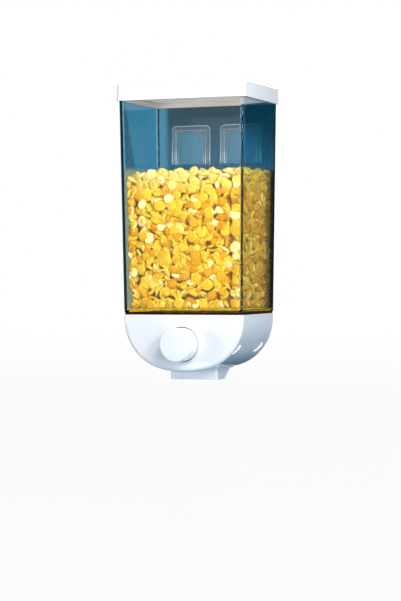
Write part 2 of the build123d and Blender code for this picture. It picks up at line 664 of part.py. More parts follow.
parts = {
    "tank": make_tank(),
    "tank_gasket": make_gasket(),
    "lid": make_lid(),
    "lid_seal": make_lid_seal(),
    "base_housing": make_base(),
    "wall_bumpers": make_bumpers(),
    "hopper": make_hopper(),
    "outlet_chute": make_chute(),
    "shuttle_gate": make_gate(),
    "push_button": make_button(),
    "button_collar": make_collar(),
    "button_screw": make_button_screw(),
    "frame_screws": make_frame_screws(),
}
parts |= pair("gate_rail", make_rail())
parts |= pair("return_spring", make_spring())
parts |= pair("hanger_rail", make_hanger())
parts |= pair("wall_plate", make_wall_plate())
parts |= pair("adhesive_pad", make_pad())

os.makedirs("parts", exist_ok=True)
for name, shape in parts.items():
    export_step(shape, f"parts/{name}.step")
    print(name, len(shape.solids()), round(shape.volume))
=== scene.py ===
"""Looks of the dry food dispenser: finishes, contents, studio and camera, in metres in the shared frame."""

import json
import logging
import math
from dataclasses import dataclass
from enum import Enum
from functools import reduce
from typing import Protocol

import bmesh
import bpy
import numpy as np
from mathutils import Matrix, Vector


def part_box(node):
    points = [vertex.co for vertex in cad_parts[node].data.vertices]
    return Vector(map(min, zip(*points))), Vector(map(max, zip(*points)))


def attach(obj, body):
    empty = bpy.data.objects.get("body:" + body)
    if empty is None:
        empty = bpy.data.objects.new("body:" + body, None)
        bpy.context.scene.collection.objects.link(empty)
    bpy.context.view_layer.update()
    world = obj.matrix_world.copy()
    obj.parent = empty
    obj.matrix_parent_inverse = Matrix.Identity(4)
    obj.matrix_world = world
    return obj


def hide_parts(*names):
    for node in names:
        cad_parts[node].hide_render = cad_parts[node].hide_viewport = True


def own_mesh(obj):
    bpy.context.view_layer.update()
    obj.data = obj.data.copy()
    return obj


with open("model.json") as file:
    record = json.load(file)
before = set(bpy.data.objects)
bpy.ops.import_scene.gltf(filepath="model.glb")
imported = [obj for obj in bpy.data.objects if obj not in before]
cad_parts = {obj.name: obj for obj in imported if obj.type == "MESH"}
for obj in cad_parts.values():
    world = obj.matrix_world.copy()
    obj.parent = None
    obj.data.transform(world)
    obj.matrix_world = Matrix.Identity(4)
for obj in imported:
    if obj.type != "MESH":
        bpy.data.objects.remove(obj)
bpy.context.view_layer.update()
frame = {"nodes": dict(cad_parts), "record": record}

Pair = tuple[float, float]
Triple = tuple[float, float, float]
Colour = Triple
Point = Triple
# An edge is the value at which a mask is one half, and half the width of its rise.
Edge = Pair
log = logging.getLogger("dispenser")

DISPENSER = "dispenser"
WHITE_LIGHT = (1.0, 1.0, 1.0)


class Ray(Enum):
    """The kinds of ray that a material tells apart."""

    CAMERA = "Is Camera Ray"
    GLOSSY = "Is Glossy Ray"
    THROUGH = "Is Transmission Ray"
    SHADOW = "Is Shadow Ray"


SEEN = (Ray.CAMERA, Ray.GLOSSY, Ray.THROUGH)


# Shader nodes


class Sock:
    """An output socket that takes part in sums: each operator adds one Math node."""

    def __init__(self, shader: "Shader", socket: bpy.types.NodeSocket) -> None:
        """Keeps the socket and the tree that it belongs to."""
        self.shader = shader
        self.socket = socket

    def __add__(self, other: "Sock | float") -> "Sock":
        """Sum."""
        return self.shader.math("ADD", self, other)

    def __radd__(self, other: float) -> "Sock":
        """Sum with a number on the left."""
        return self.shader.math("ADD", other, self)

    def __sub__(self, other: "Sock | float") -> "Sock":
        """Difference."""
        return self.shader.math("SUBTRACT", self, other)

    def __rsub__(self, other: float) -> "Sock":
        """Difference from a number on the left."""
        return self.shader.math("SUBTRACT", other, self)

    def __mul__(self, other: "Sock | float") -> "Sock":
        """Product."""
        return self.shader.math("MULTIPLY", self, other)

    def __rmul__(self, other: float) -> "Sock":
        """Product with a number on the left."""
        return self.shader.math("MULTIPLY", other, self)

    def __abs__(self) -> "Sock":
        """Size without sign."""
        return self.shader.math("ABSOLUTE", self)

    def most(self, other: "Sock | float") -> "Sock":
        """The larger of two values."""
        return self.shader.math("MAXIMUM", self, other)

    def least(self, other: "Sock | float") -> "Sock":
        """The smaller of two values."""
        return self.shader.math("MINIMUM", self, other)

    def above(self, edge: float, soft: float) -> "Sock":
        """Mask that rises from 0 to 1 around an edge.

        Args:
            edge: value at which the mask is one half.
            soft: half the width of the rise.

        Returns:
            The mask.
        """
        ends = {"Value": self, "From Min": edge - soft, "From Max": edge + soft}
        made = self.shader.node("ShaderNodeMapRange", {"interpolation_type": "SMOOTHSTEP"}, ends)
        return self.shader.out(made, "Result")

    def line(self, at: float, width: float) -> "Sock":
        """Mask of a thin line where the value equals `at`; `width` is where it has faded out."""
        return 1.0 - abs(self - at).above(width / 2.0, width / 2.0)


class Shader:
    """The node tree of a material or a world, built by short calls."""

    def __init__(self, name: str, tree: bpy.types.NodeTree | None = None) -> None:
        """Starts an empty tree.

        Args:
            name: of a new material.
            tree: a world's tree to fill instead.
        """
        self.material = None
        if tree is None:
            self.material = bpy.data.materials.new(name)
            self.material.use_nodes = True
            tree = self.material.node_tree
        tree.nodes.clear()
        self.tree = tree

    def node(self, kind: str, settings: dict | None = None, sockets: dict | None = None) -> bpy.types.Node:
        """Adds a node.

        Args:
            kind: the node's type.
            settings: attributes, set before the sockets.
            sockets: values or links by the input's name or number.

        Returns:
            The node.
        """
        made = self.tree.nodes.new(kind)
        for key, value in (settings or {}).items():
            setattr(made, key, value)
        for key, value in (sockets or {}).items():
            if isinstance(value, Sock):
                self.tree.links.new(value.socket, made.inputs[key])
            elif isinstance(value, tuple) and made.inputs[key].type == "RGBA":
                made.inputs[key].default_value = (*value, 1.0)
            else:
                made.inputs[key].default_value = value
        return made

    def out(self, node: bpy.types.Node, key: str | int = 0) -> Sock:
        """Output of a node by name or number."""
        return Sock(self, node.outputs[key])

    def math(self, operation: str, *values: "Sock | float") -> Sock:
        """One Math node."""
        return self.out(self.node("ShaderNodeMath", {"operation": operation}, dict(enumerate(values))))

    def length(self, across: Sock, up: Sock) -> Sock:
        """Length of a vector from its two parts."""
        return self.math("SQRT", across * across + up * up)

    def blend(self, factor: "Sock | float", low: "Sock | Colour", high: "Sock | Colour") -> Sock:
        """Mixes two colours: `low` where the factor is 0, `high` where it is 1."""
        made = self.node("ShaderNodeMix", {"data_type": "RGBA"}, {0: factor, 6: low, 7: high})
        return self.out(made, 2)

    def place(self) -> Sock:
        """Position in the piece's own coordinates."""
        return self.out(self.node("ShaderNodeTexCoord"), "Object")

    def axes(self) -> tuple[Sock, Sock, Sock]:
        """The position's X, Y and Z."""
        split = self.node("ShaderNodeSeparateXYZ", None, {0: self.place()})
        return self.out(split, 0), self.out(split, 1), self.out(split, 2)

    def attribute(self, name: str) -> Sock:
        """A value stored with the mesh."""
        return self.out(self.node("ShaderNodeAttribute", {"attribute_name": name}), "Fac")

    def noise(self, size: float, detail: float = 2.0) -> Sock:
        """Noise around 0.5 whose features are `size` metres across."""
        sockets = {"Vector": self.place(), "Scale": 1.0 / size, "Detail": detail}
        return self.out(self.node("ShaderNodeTexNoise", None, sockets), 0)

    def bump(self, height: Sock, depth: float) -> Sock:
        """Normal of a surface whose height map spans `depth` metres."""
        sockets = {"Height": height, "Distance": depth, "Strength": 1.0}
        return self.out(self.node("ShaderNodeBump", None, sockets))

    def light_path(self, *kinds: Ray) -> Sock:
        """1 on rays of any of the named kinds."""
        path = self.node("ShaderNodeLightPath")
        return reduce(Sock.most, [self.out(path, kind.value) for kind in kinds])

    def principled(self, sockets: dict) -> Sock:
        """One Principled surface."""
        return self.out(self.node("ShaderNodeBsdfPrincipled", None, sockets))

    def light(self, kind: str, colour: Colour, strength: float = 1.0) -> Sock:
        """An Emission or Background of one colour."""
        return self.out(self.node(kind, None, {"Color": colour, "Strength": strength}))

    def mix(self, factor: Sock, low: Sock, high: Sock) -> Sock:
        """Mixes two shaders: `low` where the factor is 0, `high` where it is 1."""
        return self.out(self.node("ShaderNodeMixShader", None, {0: factor, 1: low, 2: high}))

    def finish(self, surface: Sock) -> bpy.types.Material | None:
        """Links the surface to the tree's output.

        Args:
            surface: what the tree shows.

        Returns:
            The material, or nothing for a world.
        """
        kind = "ShaderNodeOutputMaterial" if self.material else "ShaderNodeOutputWorld"
        self.node(kind, None, {"Surface": surface})
        return self.material


def uneven(value: float, spread: float, noise: Sock) -> Sock:
    """Varies a value by up to its share `spread` either way, with a noise around 0.5."""
    return value * ((1.0 - spread) + 2.0 * spread * noise)


# Finishes


class Finish(Protocol):
    """Anything that makes a material."""

    def material(self) -> bpy.types.Material:
        """The finished material."""


@dataclass(frozen=True)
class Moulded:
    """Opaque plastic or rubber with a faint grain."""

    name: str
    colour: Colour
    shade: Colour
    roughness: float
    grain: float = 0.0009
    depth: float = 0.00001
    shine: float = 0.5
    coat: float = 0.0
    coat_roughness: float = 0.02
    ior: float = 1.46
    patch: float = 0.035
    smear: float = 0.012
    spread: float = 0.2

    def base(self, shader: Shader) -> Sock:
        """Colour that drifts slowly over the piece."""
        return shader.blend(shader.noise(self.patch), self.colour, self.shade)

    def material(self) -> bpy.types.Material:
        """The plastic without marks."""
        shader = Shader(self.name)
        return self.surface(shader, self.base(shader))

    def surface(self, shader: Shader, colour: Sock) -> bpy.types.Material:
        """Finishes a tree with this plastic's gloss, and a fine grain that breaks up the highlight.

        Args:
            shader: tree to finish.
            colour: of the plastic.

        Returns:
            The material.
        """
        gloss = uneven(self.roughness, self.spread, shader.noise(self.smear))
        normal = shader.bump(shader.noise(self.grain), self.depth)
        sockets = {"Base Color": colour, "Roughness": gloss, "Normal": normal, "IOR": self.ior}
        sockets |= {"Coat Weight": self.coat, "Coat Roughness": self.coat_roughness}
        return shader.finish(shader.principled(sockets | {"Specular IOR Level": self.shine}))


@dataclass(frozen=True)
class Collar:
    """Plastic with a painted dark line of shade in the gap around a hole that runs along Y."""

    name: str
    plastic: Moulded
    centre: Pair
    radius: float
    gap_shade: Colour = (0.16, 0.16, 0.18)
    width: float = 0.0005
    soft: float = 0.0001

    def material(self) -> bpy.types.Material:
        """The plastic's colour, with painted shade in the gap next to the hole.

        Returns:
            The material.
        """
        shader = Shader(self.name)
        x, _, z = shader.axes()
        reach = shader.length(x - self.centre[0], z - self.centre[1])
        # Painted shade: a dark line in the gap around the hole.
        away = reach.above(self.radius + self.width, self.soft)
        return self.plastic.surface(shader, shader.blend(away, self.gap_shade, self.plastic.base(shader)))


@dataclass(frozen=True)
class Cap:
    """Plastic with painted shade inside, warmed by painted light that comes back from the food."""

    name: str
    plastic: Moulded
    centre_y: float
    half: Pair
    top: float
    # Painted shade inside the lid, warmed by light that comes back from the food.
    inside: Colour = (0.80, 0.70, 0.64)
    edge: Edge = (0.0, 0.0003)

    def material(self) -> bpy.types.Material:
        """The plastic's colour outside, the painted warm shade on surfaces within `half` and below `top`.

        Returns:
            The material.
        """
        shader = Shader(self.name)
        x, y, z = shader.axes()
        out = (abs(x) - self.half[0]).most(abs(y - self.centre_y) - self.half[1]).most(z - self.top)
        # Painted warm shade on the lid's inner surfaces.
        colour = shader.blend(out.above(*self.edge), self.inside, self.plastic.base(shader))
        return self.plastic.surface(shader, colour)


@dataclass(frozen=True)
class Metal:
    """Plain drawn steel."""

    name: str
    colour: Colour
    shade: Colour
    roughness: float
    speckle: float = 0.002
    detail: float = 4.0
    spread: float = 0.3

    def material(self) -> bpy.types.Material:
        """Metal whose colour and gloss vary with a fine noise.

        Returns:
            The material.
        """
        shader = Shader(self.name)
        noise = shader.noise(self.speckle, self.detail)
        colour = shader.blend(noise, self.colour, self.shade)
        gloss = uneven(self.roughness, self.spread, noise)
        return shader.finish(shader.principled({"Base Color": colour, "Roughness": gloss, "Metallic": 1.0}))


@dataclass(frozen=True)
class Clear:
    """Thin, mostly see-through plastic or foam that lets the lamps through."""

    name: str
    tint: Colour
    shade: Colour
    roughness: float = 0.08
    cover: float = 0.05
    patch: float = 0.02
    spread: float = 0.3

    def material(self) -> bpy.types.Material:
        """A faint tint that covers only a share of what lies behind.

        Returns:
            The material.
        """
        shader = Shader(self.name)
        noise = shader.noise(self.patch)
        tint = shader.blend(noise, self.tint, self.shade)
        gloss = uneven(self.roughness, self.spread, noise)
        return shader.finish(shader.principled({"Base Color": tint, "Roughness": gloss, "Alpha": self.cover}))


# Tank

GASKET_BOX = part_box("tank_gasket")
TANK_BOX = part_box("tank")
LID_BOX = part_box("lid")
RAIL_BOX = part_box("hanger_rail_right")


@dataclass(frozen=True)
class TankShape:
    """Sizes of the tank, which tapers outwards to the top, and of the heap of food in it."""

    half_width: float = GASKET_BOX[1].x
    half_depth: float = (GASKET_BOX[1].y - GASKET_BOX[0].y) / 2.0
    centre_y: float = (GASKET_BOX[1].y + GASKET_BOX[0].y) / 2.0
    foot: float = GASKET_BOX[1].z
    taper: float = (TANK_BOX[1].x - GASKET_BOX[1].x) / (TANK_BOX[1].z - GASKET_BOX[1].z)
    skirt: float = LID_BOX[0].z
    wall: float = 0.0022
    fill: float = 0.1252
    dip: float = 0.0045

    @property
    def level(self) -> float:
        """Height of the heap's top."""
        return self.foot + self.fill

    def width_at(self, z: "float | np.ndarray | Sock") -> "float | np.ndarray | Sock":
        """Outer half width at a height."""
        return self.half_width + (z - self.foot) * self.taper

    def depth_at(self, z: "float | np.ndarray | Sock") -> "float | np.ndarray | Sock":
        """Outer half depth at a height."""
        return self.half_depth + (z - self.foot) * self.taper


SHAPE = TankShape()


@dataclass
class TankSpot:
    """Where a point of the tank lies: distances past its outer faces, below 0 inside, and wall masks."""

    shader: Shader
    shape: TankShape
    middle: Edge = (0.0, 0.01)
    skin: float = 0.0026
    crisp: float = 0.0001

    def __post_init__(self) -> None:
        """Measures the point against the tapered walls."""
        self.x, y, self.z = self.shader.axes()
        self.width = self.shape.width_at(self.z)
        self.depth = self.shape.depth_at(self.z)
        self.aside = abs(self.x) - self.width
        self.behind = (y - self.shape.centre_y) - self.depth
        self.ahead = (self.shape.centre_y - y) - self.depth
        self.right = self.x.above(*self.middle)
        self.side = self.aside.above(-self.skin, self.crisp)
        self.back = self.behind.above(-self.skin, self.crisp)


@dataclass(frozen=True)
class HangerMarks:
    """Tints of the hangers on the back wall: dark bracket, lighter panel, painted highlights along the
    outline, brightest at the legs' feet.
    """

    at_x: float = (RAIL_BOX[0].x + RAIL_BOX[1].x) / 2.0
    half: Pair = ((RAIL_BOX[1].x - RAIL_BOX[0].x) / 2.0, RAIL_BOX[1].z)
    corner: float = 0.0045
    bracket: Colour = (0.005, 0.034, 0.068)
    panel: Colour = (0.008, 0.073, 0.150)
    shelf: Colour = (0.002, 0.012, 0.026)
    edge_highlight: Colour = (0.425, 0.65, 0.78)
    outline_edge: Edge = (0.0, 0.0004)
    foot_soft: float = 0.0006
    panel_edge: Edge = (-0.0072, 0.0006)
    shelf_edge: Edge = (-0.0012, 0.0004)
    shelf_above: Edge = (0.0, 0.0015)
    leg_below: Edge = (-0.008, 0.006)
    leg_under: Edge = (-0.001, 0.001)
    edge_highlight_least: float = 0.25
    edge_highlight_more: float = 0.6
    # Each painted highlight line: place within the outline, width, strength.
    edge_highlight_lines: tuple[Triple, ...] = (
        (-0.0006, 0.0009, 1.0),
        (-0.0046, 0.0009, 0.9),
        (-0.0027, 0.0008, 0.35),
        (-0.0066, 0.0008, 0.45),
    )

    def tint(self, spot: TankSpot) -> tuple[Sock, Sock]:
        """Marks by the distance from an outline with round upper corners: below 0 within, above 0 outside.

        Args:
            spot: where the point lies.

        Returns:
            The mask of the hangers, and their colour.
        """
        shader, x, z = spot.shader, spot.x, spot.z
        half_x, half_z = self.half
        across = abs(abs(x) - self.at_x) - (half_x - self.corner)
        up = z - (half_z - self.corner)
        edge = shader.length(across.most(0.0), up.most(0.0)) + across.most(up).least(0.0) - self.corner
        within = (1.0 - edge.above(*self.outline_edge)) * z.above(-half_z, self.foot_soft)
        face = shader.blend(1.0 - edge.above(*self.panel_edge), self.bracket, self.panel)
        shelf = up.above(*self.shelf_above) * (1.0 - edge.above(*self.shelf_edge))
        face = shader.blend(shelf, face, self.shelf)
        # Painted highlights along the outline, strongest near the legs' lower ends.
        lines = reduce(Sock.most, [edge.line(at, width) * strength for at, width, strength in self.edge_highlight_lines])
        leg_glint = (1.0 - z.above(*self.leg_below)) * (1.0 - up.above(*self.leg_under))
        return within, shader.blend(lines * (self.edge_highlight_least + self.edge_highlight_more * leg_glint), face, self.edge_highlight)


@dataclass(frozen=True)
class TankFinish:
    """Clear plastic: pale front, deep teal back and sides, corners painted dark as shade, painted highlights,
    and food colours over the heap.
    """

    shape: TankShape = SHAPE
    hangers: HangerMarks = HangerMarks()
    ior: float = 1.42
    roughness: float = 0.0
    lamp_tint: Colour = (0.93, 0.96, 0.98)
    soft: float = 0.0003
    # Walls above the heap
    front: Colour = (0.96, 0.97, 0.97)
    left: Colour = (0.016, 0.225, 0.385)
    right: Colour = (0.020, 0.200, 0.320)
    right_low: Colour = (0.120, 0.420, 0.600)
    right_edge: Edge = (-0.004, 0.024)
    wedge: Colour = (0.0005, 0.100, 0.180)
    wedge_slope: float = 0.36
    wedge_top: float = 0.058
    wedge_edge: Edge = (0.0, 0.002)
    glint: Colour = (0.170, 0.520, 0.740)
    glint_front: Edge = (-0.0065, 0.0012)
    glint_back: Edge = (-0.0040, 0.0040)
    back_high: Colour = (0.012, 0.058, 0.082)
    back_low: Colour = (0.016, 0.105, 0.190)
    back_edge: Edge = (0.004, 0.026)
    strip: Colour = (0.055, 0.260, 0.400)
    strip_edge: Edge = (0.0105, 0.0035)
    bonded: Colour = (1.0, 1.0, 1.0)
    # Walls over the heap
    heap_edge: Edge = (-0.002, 0.003)
    heap_right: float = 0.0035
    dip_edge: Edge = (-0.046, 0.008)
    full: Colour = (0.74, 0.69, 0.33)
    full_left: Colour = (0.26, 0.36, 0.25)
    full_edge: Edge = (-0.012, 0.008)
    shaded: Colour = (0.10, 0.09, 0.05)
    shaded_edge: Edge = (-0.020, 0.016)
    # Painted reflection of the lid's skirt on the right wall, and painted warm bounce light on the rim under
    # the lid's skirt
    rim_bounce_light: Colour = (1.0, 0.84, 0.77)
    skirt_reflection: Colour = (0.46, 0.45, 0.45)
    brow_drop: float = 0.0070
    brow_slope: float = 0.11
    brow_edge: Edge = (0.0, 0.0006)
    brow_share: float = 0.7
    # Foot of the walls, with bits of crumb behind it
    ledge: float = 0.0025
    lift: float = 0.0004
    toe: Colour = (0.92, 0.74, 0.14)
    toe_dark: Colour = (0.62, 0.37, 0.04)
    toe_side: Colour = (0.26, 0.19, 0.05)
    toe_patch: float = 0.005
    toe_edge: Edge = (0.45, 0.2)
    sole: Colour = (0.03, 0.012, 0.006)
    sole_soft: float = 0.0002
    # Upright corners, painted dark as shade where the thick plastic lets little light through
    corner: Colour = (0.003, 0.022, 0.050)
    corner_left: float = 0.0024
    corner_right: float = 0.0004
    corner_roughness: float = 0.3
    corner_shine: float = 0.1

    def pane(self, shader: Shader, tint: Sock) -> Sock:
        """Refracting surface for the eye, plain and nearly colourless for the lamps.

        Args:
            shader: tree to add to.
            tint: colour that passes through one wall.

        Returns:
            The surface.
        """
        sockets = {"Base Color": tint, "Roughness": self.roughness, "IOR": self.ior}
        seen = shader.principled(sockets | {"Transmission Weight": 1.0})
        lit = shader.out(shader.node("ShaderNodeBsdfTransparent", None, {0: self.lamp_tint}))
        return shader.mix(shader.light_path(Ray.SHADOW), seen, lit)

    def back_tint(self, spot: TankSpot) -> Sock:
        """Tint of the empty back wall: deeper at the top, lighter at the left end, marked by the hangers.

        Args:
            spot: where the point lies.

        Returns:
            The colour.
        """
        shader = spot.shader
        wall = shader.blend(spot.z.above(*self.back_edge), self.back_low, self.back_high)
        strip = 1.0 - (spot.x + spot.width).above(*self.strip_edge)
        wall = shader.blend(strip, wall, self.strip)
        within, face = self.hangers.tint(spot)
        outer = spot.behind.above(-self.shape.wall / 2.0, self.soft)
        return shader.blend(within, wall, shader.blend(outer, face, self.bonded))

    def side_tint(self, spot: TankSpot) -> Sock:
        """Tint of the empty side walls: a dark wedge at the left, painted highlights along the upright edges.

        Args:
            spot: where the point lies.

        Returns:
            The colour.
        """
        shader = spot.shader
        left = 1.0 - spot.right
        right = shader.blend(spot.z.above(*self.right_edge), self.right_low, self.right)
        wall = shader.blend(spot.right, self.left, right)
        wedge = (self.wedge_slope * (self.wedge_top - spot.z) + spot.ahead).above(*self.wedge_edge) * left
        wall = shader.blend(wedge, wall, self.wedge)
        # Painted highlights along the upright edges.
        bright = spot.ahead.above(*self.glint_front).most(spot.behind.line(*self.glint_back) * left)
        return shader.blend(bright, wall, self.glint)

    def walls(self, spot: TankSpot) -> Sock:
        """Tint of all walls, with and without food behind them.

        Args:
            spot: where the point lies.

        Returns:
            The colour.
        """
        shader = spot.shader
        dip = self.shape.dip * spot.x.above(*self.dip_edge) - self.shape.dip
        top = spot.z - self.shape.level + dip - self.heap_right * spot.right
        full = 1.0 - top.above(*self.heap_edge)
        # Near the side walls, the food behind the back wall takes the painted dark corner tone.
        back_food = shader.blend(spot.aside.above(*self.full_edge), self.full, self.corner)
        side_food = shader.blend(spot.right, self.full_left, self.full)
        side_food = shader.blend(spot.right * spot.behind.above(*self.shaded_edge), side_food, self.shaded)
        side_wall = shader.blend(full, self.side_tint(spot), side_food)
        back_wall = shader.blend(full, self.back_tint(spot), back_food)
        return shader.blend(spot.back, shader.blend(spot.side, self.front, side_wall), back_wall)

    def ends(self, spot: TankSpot, tint: Sock) -> Sock:
        """Adds painted warm bounce light on the rim under the lid's skirt, and the bits of crumb and the dark
        line at the foot.

        Args:
            spot: where the point lies.
            tint: of the walls.

        Returns:
            The colour.
        """
        shader = spot.shader
        # Painted warm bounce light from the food, on the rim under the lid's skirt.
        tint = shader.blend(spot.z.above(self.shape.skirt, self.soft), tint, self.rim_bounce_light)
        toe = shader.blend(shader.noise(self.toe_patch).above(*self.toe_edge), self.toe_dark, self.toe)
        toe = shader.blend(spot.side * spot.right, toe, self.toe_side)
        foot = self.shape.foot + self.lift
        tint = shader.blend(spot.z.above(foot + self.ledge, self.soft), toe, tint)
        return shader.blend(spot.z.above(foot, self.sole_soft), self.sole, tint)

    def posts(self, spot: TankSpot) -> Sock:
        """Mask of the upright corners painted dark as shade, between the ledge at the foot and the lid's
        skirt.

        Args:
            spot: where the point lies.

        Returns:
            The mask.
        """
        width = self.corner_left + (self.corner_right - self.corner_left) * spot.right
        facing = (spot.ahead.most(spot.behind) + width).above(0.0, spot.crisp)
        flanking = (spot.aside + width).above(0.0, spot.crisp)
        below = 1.0 - spot.z.above(self.shape.skirt, self.soft)
        return facing * flanking * below * spot.z.above(self.shape.foot + self.ledge, self.soft)

    def material(self) -> bpy.types.Material:
        """Tinted panes, corner posts painted dark as shade, and a painted reflection of the lid's skirt
        slanting over the right wall.

        Returns:
            The material.
        """
        shader = Shader("clear_tank")
        spot = TankSpot(shader, self.shape)
        tint = self.ends(spot, self.walls(spot))
        # Painted reflection of the lid's skirt, slanting over the top of the right wall.
        slant = self.brow_drop - self.brow_slope * (spot.behind + 2.0 * spot.depth)
        skirt_reflection = (spot.z - self.shape.skirt + slant).above(*self.brow_edge) * spot.right
        sockets = {"Roughness": self.corner_roughness, "Specular IOR Level": self.corner_shine}
        # Painted shade: the opaque dark surface of the upright corners.
        dark = shader.principled({"Base Color": self.corner, **sockets})
        reflected_skirt = shader.principled({"Base Color": self.skirt_reflection, **sockets})
        wall = shader.mix(skirt_reflection * spot.side * self.brow_share, self.pane(shader, tint), reflected_skirt)
        return shader.finish(shader.mix(self.posts(spot), wall, dark))


# Pieces of the frame

COLLAR_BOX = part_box("button_collar")
BUTTON_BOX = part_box("push_button")
COLLAR_CENTRE = ((COLLAR_BOX[0].x + COLLAR_BOX[1].x) / 2.0, (COLLAR_BOX[0].z + COLLAR_BOX[1].z) / 2.0)
RIM_HALF = (SHAPE.width_at(TANK_BOX[1].z), SHAPE.depth_at(TANK_BOX[1].z))
LID_SKIN = 0.0008

WHITE = Moulded("white_plastic", (0.90, 0.90, 0.905), (0.88, 0.885, 0.89), 0.20, shine=0.18, coat=0.8)

SLOT_FINISH: dict[str, Finish] = {
    "clear_tank": TankFinish(),
    "white_plastic": WHITE,
    "clear_plastic": Clear("clear_plastic", (0.93, 0.965, 0.985), (0.90, 0.95, 0.975)),
    "dark_rubber": Moulded("dark_rubber", (0.030, 0.012, 0.006), (0.020, 0.009, 0.005), 0.5, shine=0.1),
    "pale_rubber": Moulded("pale_rubber", (0.86, 0.78, 0.70), (0.80, 0.72, 0.64), 0.55),
    "steel": Metal("steel", (0.62, 0.62, 0.64), (0.5, 0.5, 0.53), 0.28),
    "adhesive_foam": Clear("adhesive_foam", (0.90, 0.93, 0.95), (0.84, 0.88, 0.91), 0.5, 0.12),
}

NODE_FINISH: dict[str, Finish] = {
    "button_collar": Collar("collar_plastic", WHITE, COLLAR_CENTRE, BUTTON_BOX[1].x),
    "lid": Cap("lid_plastic", WHITE, SHAPE.centre_y, RIM_HALF, LID_BOX[1].z - LID_SKIN),
}


@dataclass(frozen=True)
class Housing:
    """All CAD pieces, each in the finish of its slot or in one of its own."""

    slots: dict[str, Finish]
    nodes: dict[str, Finish]

    def dress(self) -> None:
        """Gives every CAD node its material."""
        by_slot = {slot: finish.material() for slot, finish in self.slots.items()}
        own = {node: finish.material() for node, finish in self.nodes.items()}
        for part in frame["record"]["subparts"]:
            piece = frame["nodes"][part["node"]]
            piece.data.materials.clear()
            piece.data.materials.append(own.get(part["node"], by_slot[part["material_slot"]]))
            log.info("%s wears %s", part["node"], piece.data.materials[0].name)


def welded(mesh: bpy.types.Mesh, reach: float = 1e-6) -> bpy.types.Mesh:
    """Copies a CAD mesh, whose triangles are loose, and joins them at their shared corners.

    Args:
        mesh: to copy.
        reach: largest distance, in metres, between corners that become one.

    Returns:
        The closed copy.
    """
    copy = mesh.copy()
    work = bmesh.new()
    work.from_mesh(copy)
    bmesh.ops.remove_doubles(work, verts=work.verts[:], dist=reach)
    work.to_mesh(copy)
    work.free()
    return copy


@dataclass(frozen=True)
class Springs:
    """The two return springs, which shorten as the button goes in; here their coils are only copied."""

    joint: str = "button_press"

    def build(self) -> None:
        """Copies each spring's coil in place of the CAD one and logs the share of its length that the
        button's travel leaves.
        """
        joints = frame["record"]["behaviour"]["joints"]
        press = next(row for row in joints if row["name"] == self.joint)
        for row in press["deforming_nodes"]:
            low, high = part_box(row["node"])
            fixed = row["fixed_end_y_m"]
            length = fixed - low.y
            node = frame["nodes"][row["node"]]
            coil = bpy.data.objects.new(row["node"] + "_coil", welded(node.data))
            bpy.context.scene.collection.objects.link(coil)
            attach(coil, DISPENSER)
            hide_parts(row["node"])
            keep = (length - press["range_m"][1]) / length
            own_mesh(coil)
            log.info("%s keeps %.2f of its length", coil.name, keep)


# Contents


def set_values(piece: bpy.types.Object, name: str, values: np.ndarray) -> None:
    """Stores one number per vertex under a name that materials can read."""
    data = piece.data.attributes.new(name, "FLOAT", "POINT").data
    data.foreach_set("value", values.astype(np.float32))


def add_mesh(
    name: str, points: np.ndarray, faces: list | np.ndarray, material: bpy.types.Material
) -> bpy.types.Object:
    """Makes a smooth mesh object at the origin.

    Args:
        name: of the object.
        points: vertex positions, one row each.
        faces: vertex numbers of each face.
        material: its finish.

    Returns:
        The object.
    """
    mesh = bpy.data.meshes.new(name)
    mesh.from_pydata(points.tolist(), [], [list(map(int, face)) for face in faces])
    mesh.polygons.foreach_set("use_smooth", np.ones(len(mesh.polygons), dtype=bool))
    mesh.materials.append(material)
    mesh.update()
    made = bpy.data.objects.new(name, mesh)
    bpy.context.scene.collection.objects.link(made)
    log.info("%s: %d faces", name, len(mesh.polygons))
    return made


